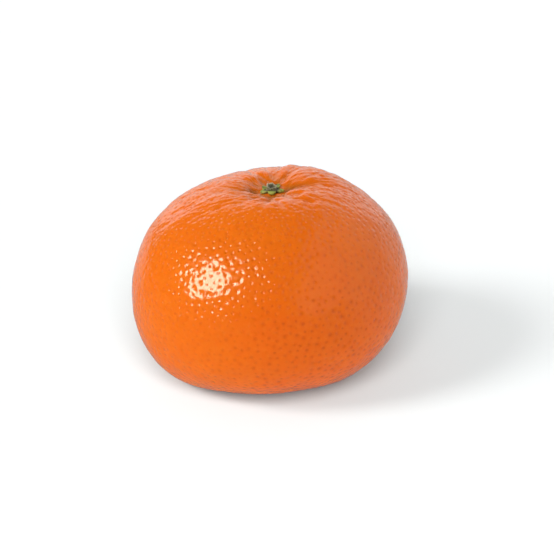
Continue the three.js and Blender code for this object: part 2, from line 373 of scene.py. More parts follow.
def body_centre():
    """The body's centre above the table, with the middle of the flat spot at the origin."""
    elevation, azimuth = np.meshgrid(UNDERSIDE_ELEVATIONS, UNDERSIDE_AZIMUTHS, indexing="ij")
    elevation, azimuth = elevation.ravel(), azimuth.ravel()
    directions = direction_at(azimuth, elevation)
    points = directions * peel_radius(directions)[:, None]
    cut = points[:, 2].min() + FLAT_SPOT_DEPTH
    low = points[:, 2] < cut
    weight = np.cos(np.radians(elevation[low]))
    middle = np.average(points[low], axis=0, weights=weight)
    return -np.array([middle[0], middle[1], cut])


CENTRE = body_centre()


def srgb(hex_code):
    """A colour's hex code as linear red, green, blue and alpha."""
    parts = [int(hex_code[i : i + 2], 16) / 255 for i in (1, 3, 5)]
    linear = [p / 12.92 if p <= 0.04045 else ((p + 0.055) / 1.055) ** 2.4 for p in parts]
    return (*linear, 1.0)


def set_inputs(node, inputs):
    """Sets a node's inputs, by name or in order. A socket, or another node's first output, is linked."""
    named = inputs if isinstance(inputs, dict) else dict(enumerate(inputs))
    for key, value in named.items():
        if isinstance(key, int):
            socket = node.inputs[key]
        else:
            socket = next(s for s in node.inputs if s.name == key and s.enabled)
        if isinstance(value, bpy.types.Node):
            value = next(s for s in value.outputs if s.enabled)
        if isinstance(value, bpy.types.NodeSocket):
            node.id_data.links.new(value, socket)
        else:
            socket.default_value = value


def add_node(tree, kind, inputs=(), **settings):
    """Adds a node with its settings and its inputs' values or links."""
    node = tree.nodes.new(kind)
    for name, value in settings.items():
        setattr(node, name, value)
    set_inputs(node, inputs)
    return node


def new_material(name):
    """A new material, with what adds its nodes and the shader that it ends in."""
    material = bpy.data.materials.new(name)
    material.use_nodes = True
    tree = material.node_tree
    return material, partial(add_node, tree), tree.nodes["Principled BSDF"]


def geometry_tree(name, inputs):
    """A new geometry tree with what adds its nodes, its input's sockets and its output."""
    tree = bpy.data.node_groups.new(name, "GeometryNodeTree")
    tree.interface.new_socket("Geometry", in_out="INPUT", socket_type="NodeSocketGeometry")
    for label, kind in inputs.items():
        tree.interface.new_socket(label, in_out="INPUT", socket_type=kind)
    tree.interface.new_socket("Geometry", in_out="OUTPUT", socket_type="NodeSocketGeometry")
    given = tree.nodes.new("NodeGroupInput").outputs
    return tree, partial(add_node, tree), given, tree.nodes.new("NodeGroupOutput")


def mesh_object(name, points, faces):
    """A new object whose mesh has these points, in mm, and smooth faces."""
    mesh = bpy.data.meshes.new(name)
    mesh.from_pydata((np.asarray(points) * MM).tolist(), [], faces)
    mesh.polygons.foreach_set("use_smooth", [True] * len(mesh.polygons))
    mesh.update()
    piece = bpy.data.objects.new(name, mesh)
    bpy.context.scene.collection.objects.link(piece)
    return piece


def store_values(piece, name, values):
    """Keeps a number or a vector for each point of the mesh."""
    values = np.asarray(values, dtype=float)
    kind, field = ("FLOAT_VECTOR", "vector") if values.ndim == 2 else ("FLOAT", "value")
    piece.data.attributes.new(name, kind, "POINT").data.foreach_set(field, values.ravel())


def finish_piece(piece, node):
    """Puts the piece in its CAD node's place on the body."""
    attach(piece, "root")
    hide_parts(node)


def apply_tree(piece, tree, values):
    """Runs a node tree on the piece, with its named inputs, and keeps the result as a plain mesh."""
    modifier = piece.modifiers.new(tree.name, "NODES")
    modifier.node_group = tree
    for socket in tree.interface.items_tree:
        if socket.in_out == "INPUT" and socket.name in values:
            modifier[socket.identifier] = values[socket.name]
    graph = bpy.context.evaluated_depsgraph_get()
    finished = bpy.data.meshes.new_from_object(
        piece.evaluated_get(graph), preserve_all_data_layers=True, depsgraph=graph
    )
    piece.modifiers.clear()
    piece.data = finished


def length_property(name, description, millimetres):
    return FloatProperty(
        name=name, description=description, default=millimetres * MM, unit="LENGTH", precision=5
    )


def angle_property(name, description, degrees):
    return FloatProperty(name=name, description=description, default=math.radians(degrees), subtype="ANGLE")


def number_property(name, description, default):
    return FloatProperty(name=name, description=description, default=default)


def colour_property(name, description, hex_code):
    return FloatVectorProperty(
        name=name, description=description, default=srgb(hex_code)[:3], subtype="COLOR"
    )


# The peel.


def icosahedron():
    """Its corners, and its faces turned outwards."""
    golden = (1 + math.sqrt(5)) / 2
    corners = []
    for a in (-1, 1):
        for b in (-golden, golden):
            corners += [(0, a, b), (a, b, 0), (b, 0, a)]
    corners = np.array(corners, dtype=float)
    faces = []
    for i in range(12):
        for j in range(i + 1, 12):
            for k in range(j + 1, 12):
                sides = [corners[i] - corners[j], corners[j] - corners[k], corners[k] - corners[i]]
                # Its edges are 2 long.
                if all(abs(side @ side - 4) < 1e-6 for side in sides):
                    outward = np.cross(corners[j] - corners[i], corners[k] - corners[i]) @ corners[i] > 0
                    faces.append((i, j, k) if outward else (i, k, j))
    return corners, faces


def sphere_lattice(steps):
    """Even directions over a sphere, and the triangles between them."""
    corners, faces = icosahedron()
    rows = [(i, j) for i in range(steps + 1) for j in range(steps + 1 - i)]
    number = {place: n for n, place in enumerate(rows)}
    weights = np.array([(steps - i - j, i, j) for i, j in rows]) / steps
    triangles = []
    for i, j in rows:
        if i + j < steps:
            triangles.append((number[i, j], number[i + 1, j], number[i, j + 1]))
        if i + j < steps - 1:
            triangles.append((number[i + 1, j], number[i + 1, j + 1], number[i, j + 1]))
    directions = np.concatenate([weights @ corners[list(face)] for face in faces])
    directions /= np.linalg.norm(directions, axis=1)[:, None]
    index = np.concatenate([np.array(triangles) + n * len(rows) for n in range(len(faces))])
    _, first, merged = np.unique(np.round(directions, 6), axis=0, return_index=True, return_inverse=True)
    return directions[first], merged.ravel()[index]


def crowded(directions):
    """Moves directions towards the stem, where the folds are, and a little towards both poles."""
    polar = np.arccos(np.clip(directions[:, 2], -1, 1))
    moved = polar - TIGHTER_AT_STEM * np.sin(polar) - TIGHTER_AT_POLES * np.sin(2 * polar)
    azimuth = np.arctan2(directions[:, 1], directions[:, 0])
    return np.stack([np.sin(moved) * np.cos(azimuth), np.sin(moved) * np.sin(azimuth), np.cos(moved)], axis=1)


def gland_tree():
    """Makes the skin uneven, sinks a pit for each oil gland and stores how far off the nearest gland is."""
    inputs = {
        "Spacing": "NodeSocketFloat",
        "Spacing at stem": "NodeSocketFloat",
        "Stem": "NodeSocketVector",
        "Stem zone": "NodeSocketFloat",
        "Pit radius": "NodeSocketFloat",
        "Pit depth": "NodeSocketFloat",
        "Pit fading at stem": "NodeSocketFloat",
        "Unevenness": "NodeSocketFloat",
        "Ripple": "NodeSocketFloat",
        "Seed": "NodeSocketInt",
        "Material": "NodeSocketMaterial",
    }
    tree, add, given, out = geometry_tree("oil_glands", inputs)
    position = add("GeometryNodeInputPosition")
    normal = add("GeometryNodeInputNormal")
    from_stem = add(VECTOR_MATH, (position, given["Stem"]), operation="DISTANCE")
    at_stem = add(MATH, (from_stem, given["Stem zone"]), operation="DIVIDE")
    at_stem = add(MATH, (1.0, at_stem), operation="SUBTRACT", use_clamp=True)

    # Low waves all over, and short ones that are highest where the peel is drawn together.
    swell = add(NOISE, {"Vector": position, "Scale": 1 / (SWELL_SIZE * MM), "Detail": 1.0})
    swell = add(MATH, (swell, 0.5), operation="SUBTRACT")
    swell = add(MATH, (swell, given["Unevenness"]), operation="MULTIPLY")
    ripple = add(NOISE, {"Vector": position, "Scale": 1 / (RIPPLE_SIZE * MM), "Detail": 0.0})
    ripple = add(MATH, (ripple, 0.5), operation="SUBTRACT")
    ripple = add(MATH, (ripple, given["Ripple"]), operation="MULTIPLY")
    ripple_share = add(MATH, (at_stem, RIPPLE_EVERYWHERE), operation="ADD")
    ripple = add(MATH, (ripple, ripple_share), operation="MULTIPLY")
    height = add(MATH, (swell, ripple), operation="ADD")
    push = add(VECTOR_MATH, {0: normal, "Scale": height}, operation="SCALE")
    uneven = add("GeometryNodeSetPosition", {"Geometry": given["Geometry"], "Offset": push})

    # Glands stand closer together beside the stem.
    near_stem = add("FunctionNodeCompare", {"A": from_stem, "B": given["Stem zone"]}, operation="LESS_THAN")
    away = add("FunctionNodeBooleanMath", (near_stem,), operation="NOT")
    clouds = add("GeometryNodeJoinGeometry")
    for selection, spacing in ((near_stem, "Spacing at stem"), (away, "Spacing")):
        scatter = {
            "Mesh": uneven,
            "Selection": selection,
            "Distance Min": given[spacing],
            "Density Max": MOST_GLANDS,
            "Seed": given["Seed"],
        }
        points = add("GeometryNodeDistributePointsOnFaces", scatter, distribute_method="POISSON")
        set_inputs(clouds, (points,))
    draw = {"Min": GLAND_SIZES[0], "Max": GLAND_SIZES[1], "Seed": given["Seed"]}
    drawn = add("FunctionNodeRandomValue", draw, data_type="FLOAT")
    sized = {"Geometry": clouds, "Name": "size", "Value": drawn}
    glands = add("GeometryNodeStoreNamedAttribute", sized, data_type="FLOAT", domain="POINT")

    # The place and the size of the gland that is nearest to each place on the peel.
    nearest = add("GeometryNodeSampleNearest", {"Geometry": glands}, domain="POINT")
    sample = {"Geometry": glands, "Value": position, "Index": nearest}
    gland_place = add("GeometryNodeSampleIndex", sample, data_type="FLOAT_VECTOR", domain="POINT")
    kept_size = add("GeometryNodeInputNamedAttribute", {"Name": "size"}, data_type="FLOAT")
    sample = {"Geometry": glands, "Value": kept_size, "Index": nearest}
    gland_size = add("GeometryNodeSampleIndex", sample, data_type="FLOAT", domain="POINT")
    apart = add(VECTOR_MATH, (position, gland_place), operation="DISTANCE")

    # Pits are narrower beside the stem, as their spacing is, and shallower.
    narrowing = add(MATH, (at_stem, PITS_NARROWER), operation="MULTIPLY")
    narrowing = add(MATH, (1.0, narrowing), operation="SUBTRACT")
    reach = add(MATH, (given["Pit radius"], gland_size), operation="MULTIPLY")
    reach = add(MATH, (reach, narrowing), operation="MULTIPLY")
    share = add(MATH, (apart, reach), operation="DIVIDE")
    pit = add(MATH, (share, share), operation="MULTIPLY")
    pit = add(MATH, (pit, -1.0), operation="MULTIPLY")
    pit = add(MATH, (pit,), operation="EXPONENT")
    fading = add(MATH, (at_stem, given["Pit fading at stem"]), operation="MULTIPLY")
    fading = add(MATH, (1.0, fading), operation="SUBTRACT")
    depth = add(MATH, (given["Pit depth"], gland_size), operation="MULTIPLY")
    depth = add(MATH, (depth, fading), operation="MULTIPLY")
    sink = add(MATH, (depth, pit), operation="MULTIPLY")
    sink = add(MATH, (sink, -1.0), operation="MULTIPLY")
    dent = add(VECTOR_MATH, {0: normal, "Scale": sink}, operation="SCALE")

    # The offset from the gland and the distance to it are kept as they are before the pits sink the skin.
    # By its offset alone, a place halfway between two glands would read as the middle of one. Beside the
    # stem the distance is lengthened, so that the glands fade there.
    offset = add(VECTOR_MATH, (position, gland_place), operation="SUBTRACT")
    nearness = add(MATH, (1.0, reach), operation="DIVIDE")
    offset = add(VECTOR_MATH, {0: offset, "Scale": nearness}, operation="SCALE")
    distance = add(MATH, (share, at_stem), operation="ADD")
    skin = uneven
    for name, kind, value in (
        ("gland_offset", "FLOAT_VECTOR", offset),
        ("gland_distance", "FLOAT", distance),
    ):
        kept = {"Geometry": skin, "Name": name, "Value": value}
        skin = add("GeometryNodeStoreNamedAttribute", kept, data_type=kind, domain="POINT")
    pitted = add("GeometryNodeSetPosition", {"Geometry": skin, "Offset": dent})
    painted = add("GeometryNodeSetMaterial", {"Geometry": pitted, "Material": given["Material"]})
    set_inputs(out, (painted,))
    return tree


def rind_material(settings):
    """Mandarin rind, washed and waxed: a saturated orange with a soft gloss, darker over each gland, with
    painted shade on the cheek away from the light.
    """
    material, add, shader = new_material("waxed_mandarin_rind")
    place = add("ShaderNodeTexCoord").outputs["Object"]
    patches, speckle, waves = (
        add(NOISE, {"Vector": place, "Scale": 1 / (size * MM), "Detail": detail})
        for size, detail in (PATCHES, SPECKLES, WAVES)
    )
    offset, streaks = (
        add(ATTRIBUTE, attribute_name=name).outputs["Vector"] for name in ("gland_offset", "streaks")
    )
    distance, crease, scar, drawn_in, blush = (
        add(ATTRIBUTE, attribute_name=name).outputs["Fac"]
        for name in ("gland_distance", "crease", "scar", "drawn_in", "blush")
    )
    streaks = add(NOISE, {"Vector": streaks, "Scale": 1 / STREAK_WIDTH, "Detail": 1.0})

    # How deep in a gland's pit a place is, and how dark it is, from 0 to 1, drawn finer than the mesh
    # can hold.
    from_gland = add(VECTOR_MATH, (offset,), operation="LENGTH")
    least = add(MATH, (distance, LEAST_DISTANCE), operation="MULTIPLY")
    from_gland = add(MATH, (from_gland, least), operation="MAXIMUM")
    squared = add(MATH, (from_gland, 2.0), operation="POWER")
    falls = [
        add(MATH, (squared, -steepness), operation="MULTIPLY")
        for steepness in (PIT_STEEPNESS, SHADE_STEEPNESS)
    ]
    pit, darkness = (add(MATH, (fall,), operation="EXPONENT") for fall in falls)

    patch_and_shade_redness = add(RANGE, {"Value": patches, "From Min": 0.35, "From Max": 0.65})
    patch_and_shade_redness = add(MATH, (patch_and_shade_redness, PATCH_REDNESS), operation="MULTIPLY")
    # Deeper orange on the cheek away from the light: painted shade.
    patch_and_shade_redness = add(MATH, (patch_and_shade_redness, blush), operation="ADD")
    patch_and_shade_redness = add(MATH, (patch_and_shade_redness, 1.0), operation="MINIMUM")
    paleness = add(RANGE, {"Value": speckle, "From Min": 0.45, "From Max": 0.75})
    paleness = add(MATH, (paleness, SPECKLE_PALENESS), operation="MULTIPLY")
    # Glands show darker on that cheek: painted shade in their pits.
    shade = add(MATH, (PALE_GLANDS, blush), operation="ADD")
    shade = add(MATH, (settings.gland_shade, shade), operation="MULTIPLY")
    broken = add(RANGE, {"Value": waves, "From Min": 0.3, "From Max": 0.6})
    shade = add(MATH, (shade, broken), operation="MULTIPLY")
    shade = add(MATH, (darkness, shade), operation="MULTIPLY")
    # Darker brown in the creases and folds near the stem.
    darkening = add(MATH, (crease, DARKENING_COVER), operation="MULTIPLY")
    colour = (*settings.rind, 1)
    for factor, upper in (
        (patch_and_shade_redness, settings.rind_deep),
        (paleness, settings.rind_light),
        (shade, settings.gland_colour),
        (darkening, srgb(DARKENING_HEX)[:3]),
        (scar, srgb(SCAR_HEX)[:3]),
    ):
        colour = add(MIX, {"Factor": factor, "A": colour, "B": (*upper, 1)}, data_type="RGBA")

    relief = add(MATH, (waves, settings.wave_height), operation="MULTIPLY")
    relief = add(MATH, (relief, pit), operation="SUBTRACT")
    streak_height = add(MATH, (drawn_in, settings.streak_height), operation="MULTIPLY")
    streaks = add(MATH, (streaks, streak_height), operation="MULTIPLY")
    relief = add(MATH, (relief, streaks), operation="ADD")
    rough = {"Value": speckle, "From Min": 0.3, "From Max": 0.7, "To Min": 0.09, "To Max": 0.14}
    values = {
        "Base Color": colour,
        "Roughness": add(RANGE, rough),
        "Normal": add("ShaderNodeBump", {"Height": relief, "Strength": 1.0, "Distance": settings.pit_edge}),
        "IOR": 1.4,
        "Subsurface Weight": 0.2,
        "Subsurface Radius": (1.0, 0.35, 0.1),
        "Subsurface Scale": 1.0 * MM,
    }
    set_inputs(shader, values)
    return material


class PeelSettings(bpy.types.PropertyGroup):
    """Sizes and colours of the peel."""

    gland_spacing: length_property("Gland spacing", "Least distance between two oil glands", 1.42)
    stem_spacing: length_property("Gland spacing at stem", "The same, where the peel is drawn together", 1.05)
    stem_zone: length_property("Stem zone", "How far from the stem the peel is drawn together", 20)
    pit_radius: length_property("Pit radius", "Middle of a gland's pit to where it is a third as deep", 0.5)
    pit_depth: length_property("Pit depth", "Depth of an average gland's pit", 0.075)
    pit_edge: length_property("Pit edge", "What the finest part of the pits adds to that", 0.085)
    pit_fading: number_property("Pit fading at stem", "Share of their depth that pits lose there", 0.75)
    wave_height: number_property("Wave height", "Short waves between pits, in pit edges", 1.5)
    streak_height: number_property("Streak height", "Fine streaks beside the stem, in pit edges", 2.7)
    unevenness: length_property("Unevenness", "Height of the low waves in the peel", 0.4)
    ripple: length_property("Ripple", "Height of the short waves beside the stem", 0.8)
    seed: IntProperty(name="Seed", description="Which scatter of glands is made", default=4)
    rind: colour_property("Rind", "Main colour of the rind", "#F2740F")
    rind_deep: colour_property("Deeper rind", "Colour of its redder patches", "#F0690C")
    rind_light: colour_property("Paler rind", "Colour of the pale specks between glands", "#F4801E")
    gland_colour: colour_property("Glands", "Colour over a gland", "#C8480A")
    gland_shade: number_property("Gland shade", "How strongly that colour shows", 0.6)


def store_marks(piece, directions, radius, creases, folds):
    """Keeps what the rind's colours and finest relief follow: crease darkening, streaks, the painted shade on
    one cheek and the scar.
    """
    x, y = directions[:, 0] * radius, directions[:, 1] * radius
    plan = np.hypot(x, y)
    # Darker brown where creases and folds are deep, fading away from the stem.
    darkened = np.clip(DARKENING_IN_CREASES * creases + DARKENING_IN_FOLDS * folds - UNDARKENED_SHARE, 0, 1)
    store_values(piece, "crease", darkened * hill(plan, DARKENING_SPREAD))

    # In these coordinates fine streaks point at the stem, with their length pressed together.
    plan = np.maximum(plan, 1e-6)
    away = radius * np.arccos(np.clip(directions[:, 2], -1, 1))
    streaks = [STREAK_RING * x / plan, STREAK_RING * y / plan, away / STREAK_STRETCH]
    store_values(piece, "streaks", np.stack(streaks, axis=1))
    liveliness = 1 - CALM_IN_FRONT * np.maximum(0, -y / plan)
    drawn_in = hill(away, DRAWN_IN_SPREAD * liveliness) * (1 - hill(away, CALM_AT_CALYX))
    store_values(piece, "drawn_in", drawn_in * liveliness)

    # The cheek away from the light, painted deeper orange with darker glands: painted shade.
    blush = hill(apart_deg(directions, direction_at(*SHADED_CHEEK[:2])), SHADED_CHEEK[2])
    store_values(piece, "blush", blush)
    azimuth, elevation, _, spread = FLOWER_SCAR
    scar = hill(apart_deg(directions, direction_at(azimuth, elevation)), SCAR_BROWN * spread)
    store_values(piece, "scar", scar**2)


def press_flat(piece):
    """Levels what lies below the table."""
    for vertex in piece.data.vertices:
        vertex.co.z = max(vertex.co.z, 0.0)


class MANDARIN_OT_peel(bpy.types.Operator):
    """Builds the peel with its folds, pits and scar"""

    bl_idname = "mandarin.peel"
    bl_label = "Peel"

    def execute(self, context):
        settings = context.scene.mandarin_peel
        lattice, faces = sphere_lattice(LATTICE)
        directions = crowded(lattice)
        radius = peel_radius(directions)
        x, y = directions[:, 0] * radius, directions[:, 1] * radius
        above = directions[:, 2] > 0
        creases = furrow_depth(x, y, make_creases(), CREASE_HALF_WIDTH, CREASE_SPREAD, CREASE_WAVER)
        creases = np.where(above, creases + wrinkle_depth(x, y), 0)
        folds = np.where(above, furrow_depth(x, y, make_folds(), FOLD_HALF_WIDTH), 0)
        points = directions * (radius - creases)[:, None] + CENTRE
        piece = mesh_object("mandarin_peel", points, faces.tolist())
        store_marks(piece, directions, radius, creases, folds)
        values = {
            "Spacing": settings.gland_spacing,
            "Spacing at stem": settings.stem_spacing,
            "Stem": (points[np.argmax(directions[:, 2])] * MM).tolist(),
            "Stem zone": settings.stem_zone,
            "Pit radius": settings.pit_radius,
            "Pit depth": settings.pit_depth,
            "Pit fading at stem": settings.pit_fading,
            "Unevenness": settings.unevenness,
            "Ripple": settings.ripple,
            "Seed": settings.seed,
            "Material": rind_material(settings),
        }
        apply_tree(piece, gland_tree(), values)
        press_flat(piece)
        finish_piece(piece, "peel")
        return {"FINISHED"}


# The calyx.


def sepal_mesh(settings):
    """One sepal along +X from the stem's axis, a closed blade. Its height is above the peel."""
    along_steps, across_steps = SEPAL_STEPS
    length, half_width = settings.sepal_length / MM, settings.sepal_half_width / MM
    thickness, crown = settings.sepal_thickness / MM, settings.sepal_crown / MM
    rib_height, rib_width = SEPAL_RIB
    underside_width, underside = SEPAL_UNDERSIDE
    points, faces, edges = [], [], []
    for side in (1, 0):
        for i in range(along_steps + 1):
            u = i / along_steps
            rounding = (1 - SEPAL_TAPER * u**4) ** SEPAL_ROUNDING
            width = half_width * min(1, SEPAL_FOOT + SEPAL_WIDENING * u) * rounding
            for j in range(across_steps + 1):
                v = 2 * j / across_steps - 1
                curl = SEPAL_TIP_CURL * u**3
                rib = rib_height * math.exp(-((v / rib_width) ** 2)) * (1 - u)
                rim = SEPAL_RIM * max(abs(v) ** 4, u**6)
                blade = thickness * (1 - SEPAL_THINNING[0] * v * v) * (1 - SEPAL_THINNING[1] * u**2)
                top = blade + crown * (1 - u) ** 1.5 + rib + rim
                height = curl + (top if side else underside)
                points.append((length * u, width * v * (1 if side else underside_width), height))
                edges.append(max(abs(v) ** 3, u**5))
    row = across_steps + 1
    layer = row * (along_steps + 1)
    for i in range(along_steps):
        for j in range(across_steps):
            a = i * row + j
            faces.append((a, a + row, a + row + 1, a + 1))
            faces.append((layer + a, layer + a + 1, layer + a + row + 1, layer + a + row))
    for i in range(along_steps):
        a = i * row
        faces.append((a, layer + a, layer + a + row, a + row))
        b = a + across_steps
        faces.append((b, b + row, layer + b + row, layer + b))
    for j in range(across_steps):
        faces.append((j, j + 1, layer + j + 1, layer + j))
        b = along_steps * row + j
        faces.append((b, layer + b, layer + b + 1, b + 1))
    return points, faces, edges


def sepal_tree(peel):
    """Stands sepals in a ring round the stem and lays them on the peel."""
    inputs = {
        "Count": "NodeSocketInt",
        "First sepal": "NodeSocketFloat",
        "Stray": "NodeSocketFloat",
        "Stem": "NodeSocketVector",
        "Seed": "NodeSocketInt",
        "Material": "NodeSocketMaterial",
    }
    tree, add, given, out = geometry_tree("calyx_sepals", inputs)
    draws = []
    for least, most, added in (STRAY_DRAW, LENGTH_DRAW, WIDTH_DRAW, THICKNESS_DRAW):
        seed = add(MATH, (given["Seed"], added), operation="ADD")
        draw = {"Min": least, "Max": most, "Seed": seed}
        draws.append(add("FunctionNodeRandomValue", draw, data_type="FLOAT"))
    stray, length, width, thickness = draws

    ring = add("GeometryNodePoints", {"Count": given["Count"], "Position": given["Stem"]})
    turn = add(MATH, (add("GeometryNodeInputIndex"), math.tau), operation="MULTIPLY")
    turn = add(MATH, (turn, given["Count"]), operation="DIVIDE")
    angle = add(MATH, (turn, given["First sepal"]), operation="ADD")
    stray = add(MATH, (stray, given["Stray"]), operation="MULTIPLY")
    angle = add(MATH, (angle, stray), operation="ADD")
    placing = {
        "Points": ring,
        "Instance": given["Geometry"],
        "Rotation": add(COMBINE, {"Z": angle}),
        "Scale": add(COMBINE, {"X": length, "Y": width, "Z": thickness}),
    }
    star = add("GeometryNodeInstanceOnPoints", placing)
    flat = add("GeometryNodeRealizeInstances", {"Geometry": star})

    # Each place of a sepal is raised by the height of the peel under it.
    parts = add("ShaderNodeSeparateXYZ", (add("GeometryNodeInputPosition"),)).outputs
    drop = {
        "Target Geometry": add("GeometryNodeObjectInfo", {"Object": peel}).outputs["Geometry"],
        "Source Position": add(COMBINE, {"X": parts["X"], "Y": parts["Y"], "Z": DROP_START}),
        "Ray Direction": (0, 0, -1),
        "Ray Length": DROP_LENGTH,
    }
    landed = add("GeometryNodeRaycast", drop, data_type="FLOAT").outputs["Hit Position"]
    lift = add("ShaderNodeSeparateXYZ", (landed,)).outputs["Z"]
    laid = add("GeometryNodeSetPosition", {"Geometry": flat, "Offset": add(COMBINE, {"Z": lift})})
    painted = add("GeometryNodeSetMaterial", {"Geometry": laid, "Material": given["Material"]})
    set_inputs(out, (painted,))
    return tree


def calyx_material(settings):
    """Drying calyx: dull green leaf tissue, brown in patches, with a painted highlight along its edges and
    painted shade round the stub's foot.
    """
    material, add, shader = new_material("dried_green_calyx")
    place = add("ShaderNodeTexCoord").outputs["Object"]
    size, detail = CALYX_MOTTLE
    mottle = add(NOISE, {"Vector": place, "Scale": 1 / (size * MM), "Detail": detail})
    tip = add(ATTRIBUTE, attribute_name="tip").outputs["Fac"]
    edge = add(ATTRIBUTE, attribute_name="edge").outputs["Fac"]
    # Each layer: what it follows, where it begins and where it is full, how much it covers, its colour.
    colour = (*settings.green, 1)
    for value, low, high, most, upper in (
        (mottle, 0.4, 0.65, 0.7, settings.green_light),
        # Paler green along the edges: a painted highlight.
        (edge, 0.2, 0.7, 0.8, settings.green_light),
        # Brown towards each sepal's foot, round and under the stub: painted shade.
        (tip, 0.68, 0.46, 1.0, settings.brown),
        (mottle, 0.5, 0.38, 0.9, settings.brown),
    ):
        factor = add(RANGE, {"Value": value, "From Min": low, "From Max": high, "To Max": most})
        colour = add(MIX, {"Factor": factor, "A": colour, "B": (*upper, 1)}, data_type="RGBA")
    bump = add("ShaderNodeBump", {"Height": mottle, "Strength": 0.9, "Distance": CALYX_RELIEF * MM})
    set_inputs(shader, {"Base Color": colour, "Normal": bump, "Roughness": 0.6})
    return material


class CalyxSettings(bpy.types.PropertyGroup):
    """Sizes and colours of the calyx."""

    sepal_length: length_property("Sepal length", "Stem's axis to a sepal's tip", 2.8)
    sepal_half_width: length_property("Sepal half width", "Middle of a sepal to its edge", 1.0)
    sepal_thickness: length_property("Sepal thickness", "Thickness near its middle", 0.5)
    sepal_crown: length_property("Sepal crown", "How much thicker it is under the stub", 0.3)
    stray: angle_property("Stray", "How far a sepal turns from its place", 7)
    seed: IntProperty(name="Seed", description="Which set of sepals is made", default=2)
    green: colour_property("Green", "Main colour of the sepals", "#6E7E28")
    green_light: colour_property("Pale green", "Colour of its paler mottling and edges", "#AEB846")
    brown: colour_property("Dry brown", "Colour of its dried patches", "#4A3A22")


class MANDARIN_OT_calyx(bpy.types.Operator):
    """Builds the calyx of five sepals on the peel"""

    bl_idname = "mandarin.calyx"
    bl_label = "Calyx"

    def execute(self, context):
        settings = context.scene.mandarin_calyx
        points, faces, edges = sepal_mesh(settings)
        piece = mesh_object("mandarin_calyx", points, faces)
        store_values(piece, "tip", np.array(points)[:, 0] * MM / settings.sepal_length)
        store_values(piece, "edge", edges)
        values = {
            "Count": SEPAL_COUNT,
            "First sepal": math.radians(FIRST_SEPAL_DEG),
            "Stray": settings.stray,
            "Stem": (CENTRE[0] * MM, CENTRE[1] * MM, 0.0),
            "Seed": settings.seed,
            "Material": calyx_material(settings),
        }
        apply_tree(piece, sepal_tree(bpy.data.objects["mandarin_peel"]), values)
        finish_piece(piece, "calyx")
        return {"FINISHED"}


# The stalk stub.


def stub_material(settings):
    """Broken green twig: grey-green bark at the side, pale torn wood at the rim with a painted highlight on
    its lit side, dark pith inside.
    """
    material, add, shader = new_material("broken_stalk_wood")
    place = add("ShaderNodeTexCoord").outputs["Object"]
    rim = add(ATTRIBUTE, attribute_name="rim").outputs["Fac"]
    pith = add(ATTRIBUTE, attribute_name="pith").outputs["Fac"]
    fibres = add("ShaderNodeMapping", {"Vector": place, "Scale": (1, 1, STUB_GRAIN_STRETCH)})
    size, detail = STUB_GRAIN
    grain = add(NOISE, {"Vector": fibres, "Scale": 1 / (size * MM), "Detail": detail})
    colour = (*settings.bark, 1)
    for factor, upper in ((grain, settings.bark_dark), (rim, settings.torn_wood), (pith, settings.pith)):
        colour = add(MIX, {"Factor": factor, "A": colour, "B": (*upper, 1)}, data_type="RGBA")
    bump = add("ShaderNodeBump", {"Height": grain, "Strength": 1.0, "Distance": STUB_RELIEF * MM})
    set_inputs(shader, {"Base Color": colour, "Normal": bump, "Roughness": 0.75})
    return material


class StubSettings(bpy.types.PropertyGroup):
    """Sizes and colours of the stalk stub."""

    radius: length_property("Radius", "Radius of its foot", 1.2)
    dish: length_property("Dish", "How deep its broken end is sunken", 0.28)
    tilt: length_property("Tilt", "How much higher the back of its end is", 0.55)
    bark: colour_property("Bark", "Colour of its side", "#A0966E")
    bark_dark: colour_property("Dark bark", "Colour of the furrows in its side", "#4E4A2A")
    torn_wood: colour_property("Torn wood", "Colour of its rim", "#D0C6A8")
    pith: colour_property("Pith", "Colour inside its end", "#4A4226")


def stub_outline(dish_share):
    """Radius and height shares from the foot to the middle of the end."""
    return [
        (0.55, -0.1), (1.0, -0.06), (1.03, 0.04), (0.95, 0.16), (0.88, 0.32), (0.87, 0.5), (0.9, 0.68),
        (0.95, 0.84), (0.95, 0.95), (0.88, 1.0), (0.76, 0.96), (0.62, 1 - 0.6 * dish_share),
        (0.42, 1 - 0.9 * dish_share), (0.2, 1 - dish_share),
    ]  # fmt: skip


def waves_round(angle, waves):
    """The sum of waves round the stub at an angle."""
    return sum(height * math.sin(count * angle + start) for count, height, start in waves)


